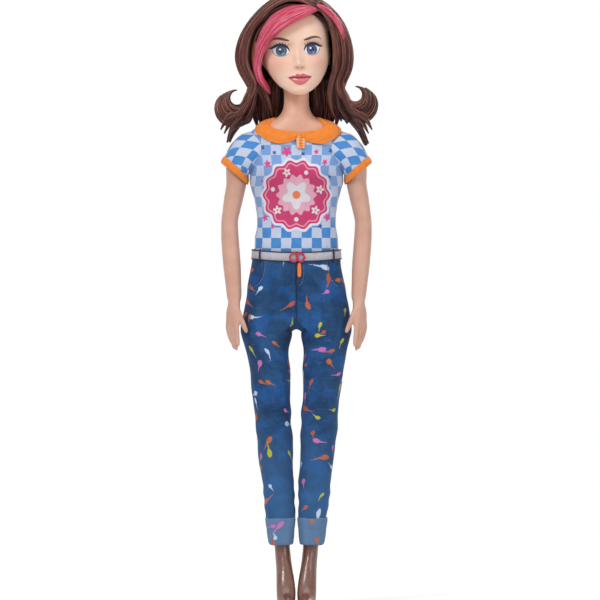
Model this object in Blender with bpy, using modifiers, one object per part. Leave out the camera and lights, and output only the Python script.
"""A fashion doll in a T-shirt, jeans and high-heeled boots, standing on a flat surface.

Metres, +Z up. The doll faces -Y, and its own left side is at +X. The origin is on the floor
under the middle of the doll.
"""

import math

import bmesh
import bpy
import numpy as np

# Heights above the floor.
CUFF_LOW_Z = 0.0295
CUFF_HEIGHT = 0.0131
CUFF_TOP_Z = CUFF_LOW_Z + CUFF_HEIGHT
CROTCH_Z = 0.1319
HIP_AXIS_Z = 0.1450
TORSO_LOW_Z = 0.1585
BELT_LOW_Z = 0.1656
BELT_WIDTH = 0.0043
BELT_TOP_Z = BELT_LOW_Z + BELT_WIDTH
WRIST_Z = 0.1480
SHOULDER_AXIS_Z = 0.2145
NECKLINE_Z = 0.2320
NECK_TOP_Z = 0.2462
CHIN_Z = 0.2437
HEAD_HEIGHT = 0.0443
SKULL_TOP_Z = CHIN_Z + HEAD_HEIGHT
HAIR_RISE = 0.0038
HAIR_TOP_Z = SKULL_TOP_Z + HAIR_RISE
CROWN_RISE = 0.0053
CROWN_LOW_Z = CHIN_Z + CROWN_RISE
CURL_DROP = 0.0005
CURL_CENTRE_Z = CHIN_Z - CURL_DROP
HAIR_DROP = 0.0247
HAIR_END_Z = CHIN_Z - HAIR_DROP

# Widths and depths.
SHOULDER_HALF_WIDTH = 0.0223
CHEST_HALF_DEPTH = 0.0122
BUST_RISE = 0.0048
HIP_HALF_WIDTH = 0.0267
HIP_HALF_DEPTH = 0.0140
NECK_RADIUS = 0.0064
FACE_HALF_WIDTH = 0.0157
FACE_DEPTH = 0.0170
SKULL_DEPTH = 0.0172
HAIR_HALF_WIDTH = 0.0240
SIDE_HAIR_X = 0.0193
BACK_HAIR_HALF_WIDTH = 0.0216
BACK_HAIR_REACH = 0.0200
ARM_STAND = 0.0077
ARM_RADIUS = 0.0050
HAND_LENGTH = 0.0260
HAND_HALF_WIDTH = 0.0040
FINGER_RADIUS = 0.0011
FINGER_LENGTH = 0.0110
THUMB_RADIUS = 0.0013
ARM_FORWARD = 0.0085
LEG_CENTRE_X = 0.0140
LEG_HALF_WIDTH = 0.0105
BOOT_HALF_WIDTH = 0.0048
FOOT_LENGTH = 0.0300
ANKLE_Z = 0.0300
HEEL_BACK = 0.0092
HEEL_RADIUS = 0.0014
HEEL_TOP_RADIUS = 0.0030

# Walls, gaps and joints.
GAP = 0.00035
FABRIC = 0.0006
DENIM = 0.0008
VINYL = 0.0012
HEAD_WALL = 0.0016
BOOT_WALL = 0.0007
HIP_RADIUS = 0.0114
HIP_BLOCK_HALF = 0.0037
HIP_PIN_RADIUS = 0.0020
HIP_PIN_REACH = 0.0170
BARB_RISE = 0.0009
BARB_LENGTH = 0.0018
PIN_CLEARANCE = 0.0003
STUD_RADIUS = 0.0032
STUD_FLANGE = 0.0047
STUD_REACH = 0.0060
ARMHOLE_RADIUS = 0.0066
SLEEVE_RADIUS = 0.0120
SLEEVE_OPEN_RADIUS = 0.0086
SLEEVE_REACH = 0.0122
SLEEVE_PUFF = 0.0018
BAND_WIDTH = 0.0031
COLLAR_WIDTH = 0.0082
TAB_WIDTH = 0.0046
TAB_LENGTH = 0.0070
KNOB_RADIUS = 0.0062
KNOB_STEM = 0.0036
CURL_RADIUS = 0.0034
CURL_CENTRE_X = 0.0293
CURL_TURN_RADIUS = 0.0058
LOCK_RADIUS = 0.0048
STREAK_HALF_WIDTH = 0.0034
STREAK_HALF_DEPTH = 0.0017
PARTING_WIDTH = 0.0030
PARTING_DEPTH = 0.0008
CUT_OVERRUN = 0.0040
WELD_DISTANCE = 0.00001

AROUND = 24
HEAD_AROUND = 34
CROWN_AROUND = 39
LIMB_AROUND = 14
TURNED_STEPS = 14

FABRIC_COLOUR = (0.66, 0.71, 0.87)
ORANGE = (1.0, 0.26, 0.03)
DENIM_COLOUR = (0.02, 0.08, 0.25)
CUFF_COLOUR = (0.10, 0.21, 0.45)
BELT_COLOUR = (0.75, 0.72, 0.75)
SKIN = (0.78, 0.48, 0.33)
BODY_SKIN = (0.74, 0.45, 0.31)
HAIR_COLOUR = (0.09, 0.022, 0.015)
PINK = (0.75, 0.08, 0.20)
BOOT_COLOUR = (0.20, 0.07, 0.045)
NYLON = (0.55, 0.50, 0.45)


# Scene set-up.
for old in list(bpy.data.objects):
    bpy.data.objects.remove(old, do_unlink=True)

doll = bpy.data.collections.new("fashion_doll")
bpy.context.scene.collection.children.link(doll)
cutters = bpy.data.collections.new("cutters")
bpy.context.scene.collection.children.link(cutters)


def new_material(name, colour, roughness, metallic=0.0):
    material = bpy.data.materials.new(name)
    material.use_nodes = True
    shader = material.node_tree.nodes["Principled BSDF"]
    shader.inputs["Base Color"].default_value = (*colour, 1.0)
    shader.inputs["Roughness"].default_value = roughness
    shader.inputs["Metallic"].default_value = metallic
    material.diffuse_color = (*colour, 1.0)
    return material


def new_pivot(name, place):
    pivot = bpy.data.objects.new(name, None)
    pivot.location = place
    pivot.empty_display_size = NECK_RADIUS
    doll.objects.link(pivot)
    return pivot


PIVOTS = {
    "torso": new_pivot("torso_origin", (0.0, 0.0, 0.0)),
    "head": new_pivot("neck_axis", (0.0, 0.0, NECK_TOP_Z)),
    "arm_left": new_pivot("shoulder_axis_left", (SHOULDER_HALF_WIDTH, 0.0, SHOULDER_AXIS_Z)),
    "arm_right": new_pivot("shoulder_axis_right", (-SHOULDER_HALF_WIDTH, 0.0, SHOULDER_AXIS_Z)),
    "leg_left": new_pivot("hip_axis_left", (HIP_BLOCK_HALF, 0.0, HIP_AXIS_Z)),
    "leg_right": new_pivot("hip_axis_right", (-HIP_BLOCK_HALF, 0.0, HIP_AXIS_Z)),
}


def new_object(name, points, faces, pivot=None, look=None):
    """A mesh object from world points. With no look it is a cutter."""
    holder = PIVOTS[pivot] if pivot else None
    base = np.array(holder.location) if holder else np.zeros(3)
    mesh = bpy.data.meshes.new(name)
    mesh.from_pydata((np.asarray(points) - base).tolist(), [], faces)
    work = bmesh.new()
    work.from_mesh(mesh)
    bmesh.ops.remove_doubles(work, verts=work.verts, dist=WELD_DISTANCE)
    bmesh.ops.recalc_face_normals(work, faces=work.faces)
    work.to_mesh(mesh)
    work.free()
    made = bpy.data.objects.new(name, mesh)
    if look:
        colour, roughness = look
        mesh.materials.append(new_material(name, colour, roughness))
        mesh.shade_smooth()
        doll.objects.link(made)
    else:
        made.hide_render = True
        made.display_type = "WIRE"
        cutters.objects.link(made)
    if holder:
        made.parent = holder
    return made


def combine(target, other, operation):
    """A Boolean of the target with a hidden helper."""
    joined = target.modifiers.new(operation.lower(), "BOOLEAN")
    joined.operation = operation
    joined.object = other
    joined.solver = "EXACT"
    return joined


def wall(target, thickness, offset=-1.0):
    shell = target.modifiers.new("wall", "SOLIDIFY")
    shell.thickness = thickness
    shell.offset = offset
    shell.use_even_offset = True
    shell.use_rim = True
    return shell


# Curves and lofts.
def smooth_row(rows, at):
    """Reads a table at one place of its first column, along a smooth curve through its rows."""
    table = np.asarray(rows, float)
    keys = table[:, 0]
    at = float(np.clip(at, keys[0], keys[-1]))
    right = int(np.clip(np.searchsorted(keys, at), 1, len(keys) - 1))
    left = right - 1
    slopes = np.gradient(table, keys, axis=0)
    span = keys[right] - keys[left]
    t = (at - keys[left]) / span
    h00 = 2 * t**3 - 3 * t**2 + 1
    h10 = t**3 - 2 * t**2 + t
    h01 = -2 * t**3 + 3 * t**2
    h11 = t**3 - t**2
    return (
        h00 * table[left] + h10 * span * slopes[left] + h01 * table[right] + h11 * span * slopes[right]
    )


def rounded(angle, power):
    """Sides of a rounded section at one angle: 2 is an ellipse, more is squarer."""
    c = math.cos(angle)
    s = math.sin(angle)
    return (
        math.copysign(abs(c) ** (2 / power), c),
        math.copysign(abs(s) ** (2 / power), s),
    )


def grid_faces(rows, columns, closed=True, caps=False):
    faces = []
    last = columns if closed else columns - 1
    for j in range(rows - 1):
        for i in range(last):
            k = (i + 1) % columns
            faces.append((j * columns + i, j * columns + k, (j + 1) * columns + k, (j + 1) * columns + i))
    if caps:
        faces.append(tuple(range(columns))[::-1])
        faces.append(tuple((rows - 1) * columns + i for i in range(columns)))
    return faces


def loft(name, rings, pivot=None, look=None, closed=True, caps=True):
    points = np.concatenate([np.asarray(ring) for ring in rings])
    faces = grid_faces(len(rings), len(rings[0]), closed, caps)
    return new_object(name, points, faces, pivot, look)


def turned(name, profile, axis_place, side, pivot=None, look=None):
    """A profile of (distance along X, radius) turned about an axis along X, open at no end."""
    rings = []
    for along, radius in profile:
        ring = []
        for i in range(TURNED_STEPS):
            angle = math.tau * i / TURNED_STEPS
            ring.append(
                (
                    axis_place[0] + side * along,
                    axis_place[1] + radius * math.cos(angle),
                    axis_place[2] + radius * math.sin(angle),
                )
            )
        rings.append(ring)
    return loft(name, rings, pivot, look)


# The clothed trunk.
# Height share from the belt's top to the neckline, then half width as a share of the shoulders'
# and as a share of the hips', front depth and back depth as shares of the chest's, and squareness.
TRUNK_SHARES = (
    (-0.18, 0.000, 0.7767, 0.96, 0.98, 2.3),
    (-0.07, 0.000, 0.7517, 0.92, 0.92, 2.3),
    (0.02, 0.000, 0.7475, 0.93, 0.92, 2.2),
    (0.10, 0.436, 0.3641, 0.87, 0.84, 2.2),
    (0.20, 0.842, 0.0000, 0.84, 0.80, 2.2),
    (0.30, 0.850, 0.0000, 0.86, 0.80, 2.2),
    (0.40, 0.900, 0.0000, 0.90, 0.86, 2.3),
    (0.50, 0.985, 0.0000, 0.96, 0.94, 2.5),
    (0.60, 1.000, 0.0000, 0.98, 1.00, 2.8),
    (0.72, 1.000, 0.0000, 0.94, 1.00, 3.0),
    (0.84, 0.995, 0.0000, 0.86, 0.94, 2.8),
    (0.91, 0.955, 0.0000, 0.78, 0.86, 2.4),
    (0.955, 0.780, 0.0000, 0.70, 0.76, 2.2),
    (0.985, 0.600, 0.0000, 0.66, 0.70, 2.0),
    (1.00, 0.500, 0.0000, 0.62, 0.66, 2.0),
)
BUST_PLACE_SHARE = 0.40
BUST_HEIGHT_SHARE = 0.60
BUST_SPREAD_SHARE = 0.34


def trunk_point(angle, share):
    """A point of the T-shirt's outer face. Angle 0 is at +X and a quarter turn back at -Y."""
    _, width, hips, front, back, power = smooth_row(TRUNK_SHARES, share)
    c, s = rounded(angle, power)
    x = (SHOULDER_HALF_WIDTH * width + HIP_HALF_WIDTH * hips) * c
    y = CHEST_HALF_DEPTH * (back if s > 0 else front) * s
    z = BELT_TOP_Z + (NECKLINE_Z - BELT_TOP_Z) * share
    if s < 0:
        across = abs(x) / SHOULDER_HALF_WIDTH - BUST_PLACE_SHARE
        up = (share - BUST_HEIGHT_SHARE) * (NECKLINE_Z - BELT_TOP_Z) / SHOULDER_HALF_WIDTH
        rise = math.exp(-(across**2 + up**2) / BUST_SPREAD_SHARE**2)
        y -= BUST_RISE * rise * min(1.0, -s * 2)
    return np.array((x, y, z))


def lifted(surface, angle, share, lift):
    """A point of a surface, moved out along its normal."""
    step = 0.004
    place = surface(angle, share)
    if lift == 0:
        return place
    along = surface(angle + step, share) - surface(angle - step, share)
    low, high = max(-0.18, share - step), min(1.0, share + step)
    up = surface(angle, high) - surface(angle, low)
    normal = np.cross(along, up)
    return place + normal * (lift / np.linalg.norm(normal))


def trunk_ring(share, lift, first=0.0, last=1.0, count=AROUND):
    closed = last - first >= 1
    steps = count if closed else count - 1
    return [
        lifted(trunk_point, math.tau * (first + (last - first) * i / steps), share, lift)
        for i in range(count)
    ]


SHIRT_LOW_SHARE = -0.06
SHIRT_LEVEL_SHARES = (
    SHIRT_LOW_SHARE, 0.06, 0.20, 0.32, 0.44, 0.54, 0.64, 0.74, 0.84, 0.91, 0.955, 1.0,
)


def build_trunk():
    side_cut = turned(
        "armhole_cutter",
        ((-CUT_OVERRUN * 10, ARMHOLE_RADIUS), (CUT_OVERRUN * 10, ARMHOLE_RADIUS)),
        (0.0, 0.0, SHOULDER_AXIS_Z),
        1.0,
    )
    stud_cut = turned(
        "shoulder_hole_cutter",
        (
            (-CUT_OVERRUN * 10, STUD_RADIUS + PIN_CLEARANCE),
            (CUT_OVERRUN * 10, STUD_RADIUS + PIN_CLEARANCE),
        ),
        (0.0, 0.0, SHOULDER_AXIS_Z),
        1.0,
    )
    shirt = loft(
        "tshirt_body",
        [trunk_ring(share, 0.0) for share in SHIRT_LEVEL_SHARES],
        "torso",
        (FABRIC_COLOUR, 0.9),
        caps=False,
    )
    wall(shirt, FABRIC)
    combine(shirt, side_cut, "DIFFERENCE")

    inward = -(FABRIC + GAP * 2.4)
    low_share = (TORSO_LOW_Z - BELT_TOP_Z) / (NECKLINE_Z - BELT_TOP_Z)
    levels = (low_share + 0.01,) + SHIRT_LEVEL_SHARES
    for name, first, shift in (("torso_back", 0.0, GAP * 0.9), ("torso_front", 0.5, -GAP * 0.9)):
        rings = []
        for share in levels:
            ring = np.array(trunk_ring(share, inward, first, first + 0.5, AROUND // 2 + 1))
            rings.append(ring + (0.0, shift, 0.0))
        for height_share, radius_share in ((0.22, 1.04), (0.6, 1.0), (1.0, 1.0)):
            z = NECKLINE_Z + (NECK_TOP_Z - NECKLINE_Z) * height_share
            ring = []
            for i in range(AROUND // 2 + 1):
                angle = math.tau * (first + 0.5 * i / (AROUND // 2))
                radius = (NECK_RADIUS - GAP) * radius_share
                ring.append((radius * math.cos(angle), radius * math.sin(angle) + shift, z))
            rings.append(ring)
        half = loft(name, rings, "torso", (BODY_SKIN, 0.45), closed=False, caps=False)
        wall(half, VINYL)
        combine(half, stud_cut, "DIFFERENCE")
    return shirt


def build_hip_pivot():
    """The pelvis piece: a plate in the torso's mouth, a block between the legs and two pins."""
    low_share = (TORSO_LOW_Z - BELT_TOP_Z) / (NECKLINE_Z - BELT_TOP_Z)
    inward = -(FABRIC + GAP * 4 + VINYL * 1.3)
    plate = loft(
        "hip_pivot",
        [trunk_ring(low_share + up, inward, count=AROUND // 2) for up in (0.012, 0.075)],
        "torso",
        (NYLON, 0.5),
    )
    block = turned(
        "hip_block_helper",
        ((-HIP_BLOCK_HALF, HIP_RADIUS), (HIP_BLOCK_HALF, HIP_RADIUS)),
        (0.0, 0.0, HIP_AXIS_Z),
        1.0,
    )
    combine(plate, block, "UNION")
    post_high = TORSO_LOW_Z + VINYL
    half = HIP_RADIUS * 0.6
    corners = [(-HIP_BLOCK_HALF, -half), (HIP_BLOCK_HALF, -half), (HIP_BLOCK_HALF, half), (-HIP_BLOCK_HALF, half)]
    post = loft("hip_post_helper", [[(x, y, z) for x, y in corners] for z in (HIP_AXIS_Z, post_high)])
    combine(plate, post, "UNION")
    for side, name in ((1.0, "left"), (-1.0, "right")):
        pin = turned(
            f"hip_pin_{name}_helper", pin_profile(0.0), (0.0, 0.0, HIP_AXIS_Z), side
        )
        combine(plate, pin, "UNION")
    return plate


def pin_profile(grow):
    barb = HIP_PIN_REACH - BARB_LENGTH
    return (
        (0.0, HIP_PIN_RADIUS + grow),
        (barb - grow, HIP_PIN_RADIUS + grow),
        (barb - grow, HIP_PIN_RADIUS + BARB_RISE + grow),
        (HIP_PIN_REACH - BARB_RISE, HIP_PIN_RADIUS + BARB_RISE + grow),
        (HIP_PIN_REACH + grow, HIP_PIN_RADIUS + grow),
    )


# Garments round the trunk.
def build_collar():
    for name, side in (("collar_left", 1.0), ("collar_right", -1.0)):
        rings = []
        for j in range(5):
            out = j / 4
            ring = []
            for i in range(AROUND // 2):
                round_share = 0.045 + 0.91 * i / (AROUND // 2 - 1)
                angle = -math.pi / 2 + math.pi * round_share
                lobe = math.sin(math.pi * round_share) ** 0.35
                reach = COLLAR_WIDTH * (0.25 + 0.75 * lobe) * out / (NECKLINE_Z - BELT_TOP_Z)
                share = 1.0 - reach * (0.55 + 0.45 * abs(math.sin(angle)))
                place = lifted(trunk_point, angle, share, GAP)
                ring.append((place[0] * side, place[1], place[2]))
            rings.append(ring)
        flap = loft(name, rings, "torso", (ORANGE, 0.85), closed=False, caps=False)
        wall(flap, FABRIC, 1.0)


def pants_point(angle, share):
    """The jeans' outer face from the waist (1) down to the crotch (0)."""
    _, width, front, back, power = smooth_row(SEAT_SHARES, share)
    c, s = rounded(angle, power)
    z = CROTCH_Z + (BELT_TOP_Z - CROTCH_Z) * share
    return np.array((HIP_HALF_WIDTH * width * c, HIP_HALF_DEPTH * (back if s > 0 else front) * s, z))


# Height share from the crotch to the belt's top, then half width, front, back and squareness.
SEAT_SHARES = (
    (0.00, 0.985, 0.98, 1.06, 2.7),
    (0.20, 0.945, 0.99, 1.10, 2.7),
    (0.40, 0.905, 0.98, 1.08, 2.7),
    (0.62, 0.850, 0.96, 1.00, 2.5),
    (0.80, 0.800, 0.93, 0.96, 2.4),
    (1.00, 0.798, 0.91, 0.93, 2.4),
)


def pants_ring(share, lift):
    return [lifted(pants_point, math.tau * i / AROUND, share, lift) for i in range(AROUND)]


def build_seat():
    low = GAP * 2 / (BELT_TOP_Z - CROTCH_Z)
    seat = loft(
        "jeans_seat",
        [pants_ring(share, 0.0) for share in (low, 0.16, 0.32, 0.48, 0.64, 0.82, 0.985)],
        "torso",
        (DENIM_COLOUR, 0.9),
        caps=False,
    )
    wall(seat, DENIM)
    belt_low = (BELT_LOW_Z - CROTCH_Z) / (BELT_TOP_Z - CROTCH_Z)
    belt = loft(
        "waistband",
        [pants_ring(share, GAP) for share in (belt_low, (belt_low + 1) / 2, 0.99)],
        "torso",
        (BELT_COLOUR, 0.5),
        caps=False,
    )
    wall(belt, FABRIC, 1.0)


# Legs.
# Height share from the floor to the hip axis: centre, half width, depth centre and half depth
# as shares of the leg's centre, half width and hip depth, and squareness.
JEANS_SHARES = (
    (0.200, 0.525, 0.630, 0.18, 0.56, 2.2),
    (0.295, 0.545, 0.660, 0.18, 0.58, 2.2),
    (0.366, 0.580, 0.680, 0.20, 0.62, 2.2),
    (0.469, 0.680, 0.762, 0.18, 0.70, 2.2),
    (0.572, 0.757, 0.814, 0.10, 0.72, 2.2),
    (0.680, 0.836, 0.848, 0.04, 0.77, 2.3),
    (0.780, 0.910, 0.920, 0.02, 0.84, 2.3),
    (0.862, 0.990, 1.040, 0.02, 0.92, 2.4),
    (0.905, 0.968, 1.270, 0.04, 0.98, 2.5),
)


def leg_rows(z):
    _, centre, half, back, depth, power = smooth_row(JEANS_SHARES, z / HIP_AXIS_Z)
    return (
        LEG_CENTRE_X * centre,
        LEG_HALF_WIDTH * half,
        HIP_HALF_DEPTH * back,
        HIP_HALF_DEPTH * depth,
        power,
    )


def oval(centre, half_u, half_v, tilt, power, side, count, floor=None):
    """A rounded ring: tilt 0 lies flat, a quarter turn stands it upright facing forward."""
    ring = []
    for i in range(count):
        c, s = rounded(math.tau * i / count, power)
        z = centre[2] - half_v * s * math.sin(tilt)
        if floor is not None:
            z = max(z, floor)
        ring.append((side * (centre[0] + half_u * c), centre[1] + half_v * s * math.cos(tilt), z))
    return ring


# Foot rings from the shin to the toe: depth place as a share of the foot's length, height share
# of the ankle's height, half width share, half thickness share of the boot's half width, tilt
# share of a quarter turn, and squareness.
FOOT_SHARES = (
    (0.100, 1.36, 0.78, 0.86, 0.00, 2.0),
    (0.100, 1.00, 0.74, 0.90, 0.00, 2.0),
    (0.085, 0.80, 0.74, 0.98, 0.16, 2.0),
    (0.020, 0.60, 0.78, 1.10, 0.42, 2.0),
    (-0.090, 0.42, 0.82, 1.02, 0.62, 2.1),
    (-0.220, 0.22, 0.92, 0.86, 0.76, 2.2),
    (-0.360, 0.105, 1.00, 0.74, 0.92, 2.3),
    (-0.480, 0.072, 0.88, 0.58, 1.00, 2.3),
    (-0.580, 0.060, 0.62, 0.44, 1.00, 2.2),
    (-0.6667, 0.050, 0.28, 0.30, 1.00, 2.0),
)
FOOT_CENTRE_SHARES = (0.52, 0.50, 0.47, 0.44, 0.42, 0.40, 0.385, 0.375, 0.37, 0.365)


def foot_rings(grow, side, count, first=0):
    rings = []
    for row, across in list(zip(FOOT_SHARES, FOOT_CENTRE_SHARES))[first:]:
        along, height, half, thick, tilt, power = row
        centre = (LEG_CENTRE_X * across, FOOT_LENGTH * along, ANKLE_Z * height)
        rings.append(
            oval(
                centre,
                BOOT_HALF_WIDTH * half + grow,
                BOOT_HALF_WIDTH * thick + grow,
                math.pi / 2 * tilt,
                power,
                side,
                count,
                floor=-grow,
            )
        )
    return rings


def build_leg(side, name):
    body = f"leg_{name}"
    inset = DENIM + GAP
    rings = []
    high = HIP_AXIS_Z + HIP_RADIUS + CUT_OVERRUN
    inner = HIP_BLOCK_HALF + GAP
    outer = HIP_HALF_WIDTH * 0.850 - inset
    for z in (high, HIP_AXIS_Z, CROTCH_Z):
        rings.append(
            oval(((inner + outer) / 2, 0.0, z), (outer - inner) / 2, HIP_RADIUS, 0.0, 2.2, side, LIMB_AROUND)
        )
    for share in (0.84, 0.78, 0.68, 0.57, 0.47, 0.37):
        z = HIP_AXIS_Z * share
        centre, half, back, depth, power = leg_rows(z)
        slack = inset + (LEG_HALF_WIDTH * 0.10 if share < 0.6 else 0.0)
        rings.append(oval((centre, back, z), half - slack, depth - slack, 0.0, power, side, LIMB_AROUND))
    rings += foot_rings(-(BOOT_WALL + GAP), side, LIMB_AROUND)
    leg = loft(body, rings, body, (BODY_SKIN, 0.45))
    dome = turned(
        f"hip_dome_{name}_cutter",
        (
            (0.0, HIP_RADIUS),
            (HIP_HALF_WIDTH * 0.55, HIP_RADIUS),
            (HIP_HALF_WIDTH * 0.74, HIP_RADIUS * 0.86),
            (HIP_HALF_WIDTH * 0.90, HIP_RADIUS * 0.55),
        ),
        (0.0, 0.0, HIP_AXIS_Z),
        side,
    )
    reach = HIP_HALF_WIDTH
    corners = [(0.0, -reach), (side * reach, -reach), (side * reach, reach), (0.0, reach)]
    low = -CUT_OVERRUN
    below = loft(f"leg_room_{name}_cutter", [[(x, y, z) for x, y in corners] for z in (low, HIP_AXIS_Z)])
    combine(below, dome, "UNION")
    combine(leg, below, "INTERSECT")
    bore = turned(f"hip_bore_{name}_cutter", pin_profile(PIN_CLEARANCE), (0.0, 0.0, HIP_AXIS_Z), side)
    combine(leg, bore, "DIFFERENCE")

    cuff_high = CUFF_TOP_Z
    levels = np.linspace(cuff_high + GAP * 2, CROTCH_Z, 9)
    rings = []
    for z in levels:
        centre, half, back, depth, power = leg_rows(z)
        rings.append(oval((centre, back, z), half, depth, 0.0, power, side, LIMB_AROUND))
    jeans = loft(f"jeans_leg_{name}", rings, body, (DENIM_COLOUR, 0.9), caps=False)
    wall(jeans, DENIM)
    rings = []
    for z in (CUFF_LOW_Z, (CUFF_LOW_Z + cuff_high) / 2, cuff_high):
        centre, half, back, depth, power = leg_rows(z)
        flare = GAP * (1 + (z - CUFF_LOW_Z) / (cuff_high - CUFF_LOW_Z))
        rings.append(oval((centre, back, z), half + flare - GAP, depth + flare, 0.0, power, side, LIMB_AROUND))
    cuff = loft(f"jeans_cuff_{name}", rings, body, (CUFF_COLOUR, 0.9), caps=False)
    wall(cuff, DENIM)

    boot = loft(f"boot_{name}", foot_rings(0.0, side, LIMB_AROUND), body, (BOOT_COLOUR, 0.25))
    along = FOOT_LENGTH * FOOT_SHARES[3][0]
    heel_x = LEG_CENTRE_X * FOOT_CENTRE_SHARES[2]
    heel = loft(
        f"heel_{name}_helper",
        [
            oval((heel_x, HEEL_BACK, 0.0), HEEL_RADIUS, HEEL_RADIUS, 0.0, 2.0, side, 12),
            oval((heel_x, HEEL_BACK, ANKLE_Z * 0.22), HEEL_RADIUS, HEEL_RADIUS, 0.0, 2.0, side, 12),
            oval((heel_x, (HEEL_BACK + along) / 2, ANKLE_Z * 0.55), HEEL_TOP_RADIUS, HEEL_TOP_RADIUS, 0.0, 2.0, side, 12),
        ],
    )
    combine(boot, heel, "UNION")
    rings = foot_rings(-BOOT_WALL, side, LIMB_AROUND)
    top = np.array(rings[0]) + (0.0, 0.0, CUT_OVERRUN)
    room = loft(f"foot_room_{name}_cutter", [top] + rings)
    combine(boot, room, "DIFFERENCE")


# Arms and sleeves.
# Arm rings: share of the way down from the shoulder axis to the wrist, centre share of the
# arm's centre, half width and half depth as shares of the arm's radius, forward share, tilt
# share of a quarter turn at the shoulder.
ARM_SHARES = (
    (0.000, 0.065, 1.56, 1.56, 0.00, 1.00),
    (0.000, 0.279, 1.60, 1.53, 0.00, 0.92),
    (0.035, 0.618, 1.44, 1.38, 0.00, 0.60),
    (0.110, 0.805, 1.10, 1.20, 0.00, 0.30),
    (0.200, 0.825, 0.95, 1.06, 0.02, 0.08),
    (0.300, 0.981, 0.92, 0.98, 0.06, 0.00),
    (0.400, 1.136, 0.84, 0.90, 0.14, 0.00),
    (0.470, 1.234, 0.80, 0.88, 0.20, 0.00),
    (0.590, 1.257, 0.76, 0.86, 0.36, 0.00),
    (0.770, 1.101, 0.68, 0.76, 0.62, 0.00),
    (0.900, 0.961, 0.57, 0.60, 0.82, 0.00),
    (1.000, 0.868, 0.53, 0.56, 0.93, 0.00),
)
HAND_SHARES = (
    (0.10, 0.922, 0.52, 0.72, 1.00),
    (0.28, 0.942, 0.54, 0.94, 1.03),
    (0.45, 0.930, 0.50, 1.00, 1.06),
    (0.56, 0.914, 0.40, 0.97, 1.08),
)


def arm_ring(centre, half_u, half_v, tilt, side, power=2.0):
    ring = []
    for i in range(LIMB_AROUND):
        c, s = rounded(math.tau * i / LIMB_AROUND, power)
        ring.append(
            (
                side * (centre[0] + half_u * c * math.cos(tilt)),
                centre[1] + half_v * s,
                centre[2] + half_u * c * math.sin(tilt),
            )
        )
    return ring


def tube_between(name, stations, side, count=8):
    """A tapered round tube: each station is a place and a radius."""
    places = np.array([place for place, _ in stations], float)
    rings = []
    for i, (place, radius) in enumerate(stations):
        ahead = places[min(i + 1, len(places) - 1)] - places[max(i - 1, 0)]
        ahead = ahead / np.linalg.norm(ahead)
        first = np.cross(ahead, (0.0, 1.0, 0.0))
        first = first / np.linalg.norm(first)
        second = np.cross(ahead, first)
        ring = []
        for k in range(count):
            angle = math.tau * k / count
            spot = np.array(place) + radius * (math.cos(angle) * first + math.sin(angle) * second)
            ring.append((side * spot[0], spot[1], spot[2]))
        rings.append(ring)
    return loft(name, rings)


def arm_x(share):
    """How far the arm's middle stands from the doll's middle."""
    return SHOULDER_HALF_WIDTH + ARM_STAND * share


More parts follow.
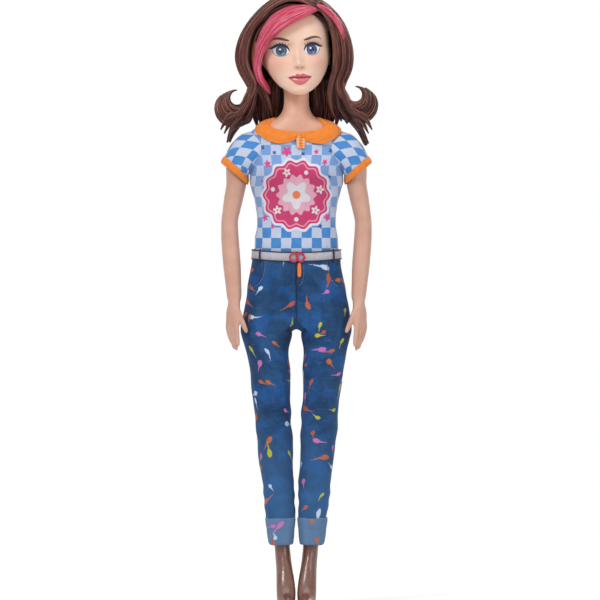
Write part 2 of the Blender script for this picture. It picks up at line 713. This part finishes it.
def build_arm(side, name):
    body = f"arm_{name}"
    rings = []
    for down, across, half, depth, forward, tilt in ARM_SHARES:
        z = SHOULDER_AXIS_Z - (SHOULDER_AXIS_Z - WRIST_Z) * down
        centre = (arm_x(across), -ARM_FORWARD * forward, z)
        rings.append(
            arm_ring(centre, ARM_RADIUS * half, ARM_RADIUS * depth, math.pi / 2 * tilt, side)
        )
    for down, across, half, depth, forward in HAND_SHARES:
        centre = (arm_x(across), -ARM_FORWARD * forward, WRIST_Z - HAND_LENGTH * down)
        rings.append(arm_ring(centre, HAND_HALF_WIDTH * half, HAND_HALF_WIDTH * depth, 0.0, side, 2.6))
    arm = loft(body, rings, body, (SKIN, 0.45))
    palm_z = WRIST_Z - HAND_LENGTH * 0.50
    x = arm_x(0.914)
    for finger, (spread, length) in enumerate(((-0.76, 0.90), (-0.25, 1.0), (0.25, 0.96), (0.74, 0.80))):
        y = -ARM_FORWARD * 1.07 + HAND_HALF_WIDTH * spread
        tip_y = y + HAND_HALF_WIDTH * spread * 0.22
        stations = (
            ((x, y, palm_z), FINGER_RADIUS * 0.9),
            ((x, y, palm_z - FINGER_LENGTH * 0.35), FINGER_RADIUS),
            ((x - FINGER_RADIUS * 0.4, tip_y, palm_z - FINGER_LENGTH * length), FINGER_RADIUS * 0.86),
            (
                (x - FINGER_RADIUS * 0.7, tip_y, palm_z - FINGER_LENGTH * (length + 0.14)),
                FINGER_RADIUS * 0.45,
            ),
        )
        combine(arm, tube_between(f"finger_{name}_{finger}_helper", stations, side), "UNION")
    y = -ARM_FORWARD - HAND_HALF_WIDTH * 0.55
    thumb_z = WRIST_Z - HAND_LENGTH * 0.22
    stations = (
        ((x, y, thumb_z), THUMB_RADIUS),
        ((x - THUMB_RADIUS * 1.4, y - THUMB_RADIUS * 1.2, thumb_z - THUMB_RADIUS * 3.2), THUMB_RADIUS * 1.05),
        ((x - THUMB_RADIUS * 3.0, y - THUMB_RADIUS * 1.8, thumb_z - THUMB_RADIUS * 6.2), THUMB_RADIUS * 0.9),
        ((x - THUMB_RADIUS * 3.9, y - THUMB_RADIUS * 2.0, thumb_z - THUMB_RADIUS * 8.0), THUMB_RADIUS * 0.45),
    )
    combine(arm, tube_between(f"thumb_{name}_helper", stations, side), "UNION")
    seat = (side * SHOULDER_HALF_WIDTH, 0.0, SHOULDER_AXIS_Z)
    bore = turned(
        f"shoulder_bore_{name}_cutter",
        ((-CUT_OVERRUN, STUD_RADIUS), (STUD_REACH * 0.9, STUD_RADIUS)),
        seat,
        side,
    )
    combine(arm, bore, "DIFFERENCE")
    inside = -(FABRIC + GAP * 6 + VINYL)
    turned(
        f"shoulder_stud_{name}",
        (
            (inside - BARB_LENGTH, STUD_RADIUS * 0.8),
            (inside - BARB_LENGTH, STUD_FLANGE * 0.85),
            (inside, STUD_FLANGE),
            (inside, STUD_RADIUS - PIN_CLEARANCE),
            (STUD_REACH * 0.85, STUD_RADIUS - PIN_CLEARANCE),
        ),
        seat,
        side,
        body,
        (NYLON, 0.5),
    )

    # The sleeve runs from the armhole seam to a slanted opening round the upper arm.
    near = SHOULDER_HALF_WIDTH + GAP
    low = SHOULDER_AXIS_Z - SLEEVE_RADIUS

    def hoop(top_x, top_z, drop, half_depth, inward=0.0):
        middle = ((near + top_x) / 2, 0.0, (low - drop + top_z) / 2)
        half = math.hypot(top_x - near, top_z - low + drop) / 2 - inward
        tilt = math.atan2(top_z - low + drop, top_x - near)
        return np.array(arm_ring(middle, half, half_depth - inward, tilt, side))

    armhole = hoop(near, SHOULDER_AXIS_Z + SLEEVE_RADIUS, 0.0, SLEEVE_RADIUS * 0.97)
    seam_top = (near + SLEEVE_REACH - BAND_WIDTH * 0.68, SHOULDER_AXIS_Z + BAND_WIDTH * 0.75)
    seam = hoop(*seam_top, BAND_WIDTH * 0.20, SLEEVE_OPEN_RADIUS * 1.02)
    mouth = hoop(near + SLEEVE_REACH, SHOULDER_AXIS_Z, BAND_WIDTH * 0.48, SLEEVE_OPEN_RADIUS * 0.94)
    rings = []
    for share in (0.0, 0.3, 0.6, 0.85, 0.955):
        ring = armhole + (seam - armhole) * share
        puff = SLEEVE_PUFF * math.sin(math.pi * share)
        for i in range(LIMB_AROUND):
            up = max(0.0, math.cos(math.tau * i / LIMB_AROUND))
            ring[i] += (side * puff * up * 0.5, 0.0, puff * up)
        rings.append(ring)
    band = [seam + (mouth - seam) * share for share in (0.22, 0.6, 1.0)]
    sleeve = loft(f"sleeve_{name}", rings, body, (FABRIC_COLOUR, 0.9), caps=False)
    wall(sleeve, FABRIC)
    cuff = loft(f"sleeve_band_{name}", band, body, (ORANGE, 0.85), caps=False)
    wall(cuff, FABRIC)


# Head.
# Share of the head's height: half width, front and back as shares of the face's half width,
# the face's depth and the skull's depth, and squareness.
HEAD_SHARES = (
    (0.000, 0.24, 0.80, -0.40, 2.0),
    (0.030, 0.42, 0.88, 0.02, 2.0),
    (0.080, 0.60, 0.915, 0.28, 2.1),
    (0.150, 0.74, 0.925, 0.46, 2.1),
    (0.250, 0.88, 0.94, 0.64, 2.1),
    (0.380, 0.985, 0.95, 0.86, 2.2),
    (0.500, 1.000, 0.93, 0.97, 2.2),
    (0.620, 1.000, 0.97, 1.00, 2.2),
    (0.750, 0.960, 0.93, 0.98, 2.1),
    (0.860, 0.830, 0.77, 0.86, 2.0),
    (0.940, 0.590, 0.52, 0.62, 2.0),
    (1.000, 0.200, 0.16, 0.20, 2.0),
)
JAW_SLOPE_SHARE = 0.30
# Relief of the face: place across, place up from the chin, spread across, spread up (shares of
# the face's half width) and rise (share of the face's depth).
FACE_RELIEF_SHARES = (
    (0.390, 1.710, 0.280, 0.120, 0.018),
    (0.460, 1.420, 0.270, 0.200, -0.079),
    (0.465, 1.370, 0.190, 0.134, 0.056),
    (0.000, 1.390, 0.140, 0.290, 0.056),
    (0.000, 1.100, 0.120, 0.200, 0.079),
    (0.000, 0.930, 0.120, 0.090, 0.100),
    (0.110, 0.890, 0.070, 0.070, 0.036),
    (0.560, 0.900, 0.280, 0.270, 0.044),
    (0.000, 0.516, 0.330, 0.217, 0.047),
    (0.000, 0.600, 0.170, 0.050, 0.025),
    (0.000, 0.446, 0.185, 0.060, 0.042),
    (0.000, 0.312, 0.178, 0.060, -0.025),
    (0.000, 0.153, 0.204, 0.146, 0.056),
)


def head_point(angle, share):
    _, width, front, back, power = smooth_row(HEAD_SHARES, share)
    c, s = rounded(angle, power)
    x = FACE_HALF_WIDTH * width * c
    near = -FACE_DEPTH * front
    far = SKULL_DEPTH * back
    y = (near + far) / 2 + (far - near) / 2 * s
    slope = JAW_SLOPE_SHARE * max(0.0, 1.0 - share / 0.55) ** 1.5
    z = CHIN_Z + (SKULL_TOP_Z - CHIN_Z) * share + slope * (y + FACE_DEPTH * 0.8)
    if s < 0:
        up = (z - CHIN_Z) / FACE_HALF_WIDTH
        for across, level, wide, tall, rise in FACE_RELIEF_SHARES:
            fall = ((abs(x) / FACE_HALF_WIDTH - across) / wide) ** 2 + ((up - level) / tall) ** 2
            y -= FACE_DEPTH * rise * math.exp(-fall) * min(1.0, -s * 1.5)
    return np.array((x, y, z))


HEAD_LEVELS = 25
FRONT_CROWDING_SHARE = 0.42


def head_ring(share, lift, count=HEAD_AROUND):
    """One ring of the head, its points closer together at the face."""
    ring = []
    for i in range(count):
        turn = math.tau * i / count
        ring.append(lifted(head_point, turn + FRONT_CROWDING_SHARE * math.cos(turn), share, lift))
    return ring


def turned_up(name, profile, pivot=None, look=None, centre=(0.0, 0.0), count=TURNED_STEPS):
    """A profile of (height, radius) turned about an upright axis."""
    rings = []
    for z, radius in profile:
        ring = []
        for i in range(count):
            angle = math.tau * i / count
            ring.append((centre[0] + radius * math.cos(angle), centre[1] + radius * math.sin(angle), z))
        rings.append(ring)
    return loft(name, rings, pivot, look)


def ball(name, centre, radii, steps=9):
    """A stretched ball, used as a cutter."""
    made = bmesh.new()
    bmesh.ops.create_uvsphere(made, u_segments=steps * 2, v_segments=steps, radius=1.0)
    made.verts.index_update()
    points = [(centre[k] + np.array([v.co[k] for v in made.verts]) * radii[k]) for k in range(3)]
    faces = [tuple(v.index for v in face.verts) for face in made.faces]
    made.free()
    return new_object(name, np.array(points).T, faces)


def build_head():
    shares = []
    for j in range(HEAD_LEVELS + 1):
        even = j / HEAD_LEVELS
        shares.append(even - math.sin(math.tau * even) / math.tau * 0.55)
    head = loft("head", [head_ring(share, 0.0) for share in shares], "head", (SKIN, 0.4))
    middle = (CHIN_Z + SKULL_TOP_Z) / 2
    radii = (
        FACE_HALF_WIDTH - HEAD_WALL,
        FACE_DEPTH - HEAD_WALL * 2,
        (SKULL_TOP_Z - CHIN_Z) / 2 - HEAD_WALL * 2,
    )
    cavity = ball("head_cavity_cutter", (0.0, 0.0, middle), radii)
    combine(head, cavity, "DIFFERENCE")
    seat = turned_up(
        "neck_seat_cutter",
        (
            (CHIN_Z - CUT_OVERRUN * 2, NECK_RADIUS + GAP * 2),
            (NECK_TOP_Z + GAP, NECK_RADIUS + GAP * 2),
            (NECK_TOP_Z + GAP * 1.1, KNOB_STEM + PIN_CLEARANCE),
            (middle, KNOB_STEM + PIN_CLEARANCE),
        ),
    )
    combine(head, seat, "DIFFERENCE")
    knob_z = middle - radii[2] * 0.45
    turned_up(
        "neck_knob",
        (
            (NECKLINE_Z + VINYL, KNOB_STEM * 0.9),
            (NECK_TOP_Z - GAP * 2, KNOB_STEM),
            (knob_z - VINYL, KNOB_STEM),
            (knob_z, KNOB_RADIUS * 0.95),
            (knob_z + VINYL, KNOB_RADIUS),
            (knob_z + VINYL * 2.5, KNOB_RADIUS * 0.6),
        ),
        "torso",
        (NYLON, 0.5),
    )
    return shares


# Hair.
# Share of the way up from the jaw to the hair's top: half width as a share of the hair's half
# width, front as a share of the face's depth and back as a share of the skull's depth.
CROWN_SHARES = (
    (0.000, 0.960, 0.550, 1.116),
    (0.050, 1.020, 0.593, 1.123),
    (0.164, 1.120, 0.664, 1.133),
    (0.304, 1.160, 0.762, 1.140),
    (0.444, 1.130, 0.861, 1.142),
    (0.549, 1.070, 0.895, 1.135),
    (0.643, 0.975, 0.904, 1.100),
    (0.736, 0.845, 0.868, 1.018),
    (0.829, 0.690, 0.791, 0.872),
    (0.911, 0.500, 0.621, 0.684),
    (0.967, 0.310, 0.395, 0.446),
    (1.000, 0.130, 0.169, 0.195),
)
CROWN_LEVEL_SHARES = (0.0, 0.13, 0.28, 0.43, 0.56, 0.67, 0.77, 0.86, 0.93, 0.975, 1.0)
FLUTES = 13
FLUTE_DEPTH_SHARE = 0.016
# The parting as places across and back, shares of the hair's half width.
PARTING_SHARES = ((0.44, -0.60), (0.40, -0.33), (0.36, -0.12), (0.24, 0.14), (0.06, 0.36))


def parting_dip(x, y):
    """How far the hair sinks at the parting, which runs back over the dome from the forehead."""
    near = HAIR_HALF_WIDTH
    for (x0, y0), (x1, y1) in zip(PARTING_SHARES, PARTING_SHARES[1:]):
        start = np.array((x0, y0)) * HAIR_HALF_WIDTH
        run = np.array((x1, y1)) * HAIR_HALF_WIDTH - start
        along = np.clip(np.dot((x, y) - start, run) / np.dot(run, run), 0.0, 1.0)
        near = min(near, np.linalg.norm((x, y) - start - run * along))
    return PARTING_DEPTH * math.exp(-((near / PARTING_WIDTH) ** 2))


def crown_ring(share):
    _, width, front, back = smooth_row(CROWN_SHARES, share)
    ring = []
    for i in range(CROWN_AROUND):
        angle = math.tau * i / CROWN_AROUND
        ripple = 1.0 + FLUTE_DEPTH_SHARE * math.cos(FLUTES * angle + 3.0 * share)
        c, s = math.cos(angle) * ripple, math.sin(angle) * ripple
        deep = SKULL_DEPTH * back if s > 0 else FACE_DEPTH * front
        x = HAIR_HALF_WIDTH * width * c
        y = deep * s
        z = CROWN_LOW_Z + (HAIR_TOP_Z - CROWN_LOW_Z) * share
        ring.append((x, y, z - parting_dip(x, y) * min(1.0, share * 1.6)))
    return ring


def lock_rows(stations):
    """Stations of (place, half width, depth share) made smooth, two rows to each."""
    rows = [(i, *place, radius, deep) for i, (place, radius, deep) in enumerate(stations)]
    fine = []
    steps = (len(rows) - 1) * 2
    for k in range(steps + 1):
        _, x, y, z, radius, deep = smooth_row(rows, k * (len(rows) - 1) / steps)
        fine.append(((x, y, z), radius, deep))
    return fine


def swept(stations, name, side=1.0, pivot=None, look=None, count=10):
    """A tapered oval tube: each station is a place, a half width and a depth share."""
    places = np.array([station[0] for station in stations], float)
    rings = []
    for i, (place, radius, deep) in enumerate(stations):
        ahead = places[min(i + 1, len(places) - 1)] - places[max(i - 1, 0)]
        ahead = ahead / np.linalg.norm(ahead)
        first = np.cross(ahead, (0.0, 1.0, 0.0))
        first = first / np.linalg.norm(first)
        second = np.cross(ahead, first)
        ring = []
        for k in range(count):
            angle = math.tau * k / count
            across, out = radius * math.cos(angle), radius * deep * math.sin(angle)
            spot = np.array(place) + across * first + out * second
            ring.append((side * spot[0], spot[1], spot[2]))
        rings.append(ring)
    return loft(name, rings, pivot, look)


def lock(name, stations, side, look=(HAIR_COLOUR, 0.35)):
    """One lock of hair, which turns with the head."""
    return swept(lock_rows(stations), name, side, "head", look)


# Places of the pink streak: across as a share of the hair's half width, front as a share of the
# face's depth and up as a share of the crown's height; then its width and depth as shares of its
# fullest.
STREAK_SHARES = (
    (0.400, -0.706, 0.824, 0.45, 0.50),
    (0.150, -0.812, 0.824, 0.80, 0.85),
    (-0.180, -0.847, 0.777, 1.00, 1.00),
    (-0.430, -0.791, 0.690, 1.00, 1.00),
    (-0.620, -0.678, 0.561, 1.00, 1.00),
    (-0.745, -0.558, 0.393, 0.95, 1.00),
    (-0.755, -0.466, 0.224, 0.80, 0.90),
    (-0.710, -0.409, 0.073, 0.50, 0.60),
)


def streak_stations(grow):
    stations = []
    for across, front, up, wide, deep in STREAK_SHARES:
        z = CROWN_LOW_Z + (HAIR_TOP_Z - CROWN_LOW_Z) * up
        half = STREAK_HALF_WIDTH * wide + grow
        place = (HAIR_HALF_WIDTH * across, FACE_DEPTH * front, z)
        stations.append((place, half, (STREAK_HALF_DEPTH * deep + grow) / half))
    return stations


def build_hair(shares):
    crown = loft(
        "hair_crown",
        [crown_ring(share) for share in CROWN_LEVEL_SHARES],
        "head",
        (HAIR_COLOUR, 0.35),
    )
    skull = loft("skull_cutter", [head_ring(share, GAP) for share in shares])
    combine(crown, skull, "DIFFERENCE")
    low = CROWN_LOW_Z - CUT_OVERRUN
    face_z = CHIN_Z + HEAD_HEIGHT * 0.36
    window = []
    for y in (-HAIR_HALF_WIDTH * 1.2, 0.0):
        ring = []
        for i in range(AROUND):
            angle = math.tau * i / AROUND
            across = FACE_HALF_WIDTH * 1.03 * math.cos(angle)
            ring.append((across, y, face_z + HEAD_HEIGHT * 0.50 * math.sin(angle)))
        window.append(ring)
    combine(crown, loft("face_window_cutter", window), "DIFFERENCE")
    under = turned_up(
        "nape_cutter",
        ((low, FACE_HALF_WIDTH), (CROWN_LOW_Z + CUT_OVERRUN, FACE_HALF_WIDTH * 0.9)),
    )
    combine(crown, under, "DIFFERENCE")
    combine(crown, swept(lock_rows(streak_stations(GAP)), "streak_groove_cutter"), "DIFFERENCE")
    streak = lock("hair_streak", streak_stations(0.0), 1.0, look=(PINK, 0.35))
    combine(streak, skull, "DIFFERENCE")

    # The back of the hair hangs from under the crown to behind the shoulders, in broad locks.
    levels = 9
    rings = []
    for j in range(levels):
        down = j / (levels - 1)
        z = CROWN_LOW_Z - GAP + (HAIR_END_Z - CROWN_LOW_Z + GAP) * down
        ring = []
        steps = 40
        for i in range(steps):
            c, s = rounded(math.tau * i / steps, 3.0)
            ripple = math.cos(math.pi * 7 * c) * LOCK_RADIUS * 0.13
            across = BACK_HAIR_HALF_WIDTH * (1.0 - 0.11 * math.sin(math.pi * down) - 0.07 * down)
            thick = LOCK_RADIUS * (1.15 - 0.68 * down**0.8)
            droop = CUT_OVERRUN * 0.8 * down**3 * math.cos(math.pi * 5 * c)
            middle = BACK_HAIR_REACH - thick - LOCK_RADIUS * 0.13
            y = middle + (thick + (ripple if s > 0 else 0.0)) * s
            ring.append((across * c, y, z + droop))
        rings.append(ring)
    loft("hair_back", rings, "head", (HAIR_COLOUR, 0.35))

    # Each side lock starts as broad as the crown's edge and narrows into a curl.
    for side, name in ((1.0, "left"), (-1.0, "right")):
        top_z = CROWN_LOW_Z - GAP * 2
        stations = [
            ((SIDE_HAIR_X, -GAP, top_z), CURL_RADIUS, 2.0),
            ((SIDE_HAIR_X + GAP, -GAP, (top_z + CURL_CENTRE_Z) / 2), CURL_RADIUS * 1.06, 1.7),
        ]
        for k in range(8):
            turn = k / 7
            angle = math.radians(185 + 245 * turn)
            radius = CURL_TURN_RADIUS * (1.14 - 0.16 * turn)
            place = (
                CURL_CENTRE_X + radius * math.cos(angle),
                -GAP - LOCK_RADIUS * 0.3 * turn,
                CURL_CENTRE_Z + radius * math.sin(angle),
            )
            stations.append((place, CURL_RADIUS * (1.04 - 0.68 * turn**2), 1.5 - 0.5 * turn))
        lock(f"hair_curl_{name}", stations, side)


def build_tab():
    """The small tab that hangs from the collar's front."""
    share = 1.0 - COLLAR_WIDTH * 0.35 / (NECKLINE_Z - BELT_TOP_Z)
    rings = []
    for drop in (0.0, 0.5, 1.0):
        low = share - TAB_LENGTH * drop / (NECKLINE_Z - BELT_TOP_Z)
        middle = lifted(trunk_point, -math.pi / 2, low, GAP * 2 + FABRIC)
        narrow = TAB_WIDTH / 2 * (1.0 - 0.25 * drop**2)
        rings.append([(middle[0] + narrow * across, middle[1], middle[2]) for across in (-1, -0.4, 0.4, 1)])
    tab = loft("collar_tab", rings, "torso", (ORANGE, 0.8), closed=False, caps=False)
    wall(tab, FABRIC, -1.0)


build_trunk()
build_hip_pivot()
build_seat()
build_collar()
build_tab()
for limb_side, limb_name in ((1.0, "left"), (-1.0, "right")):
    build_leg(limb_side, limb_name)
    build_arm(limb_side, limb_name)
build_hair(build_head())
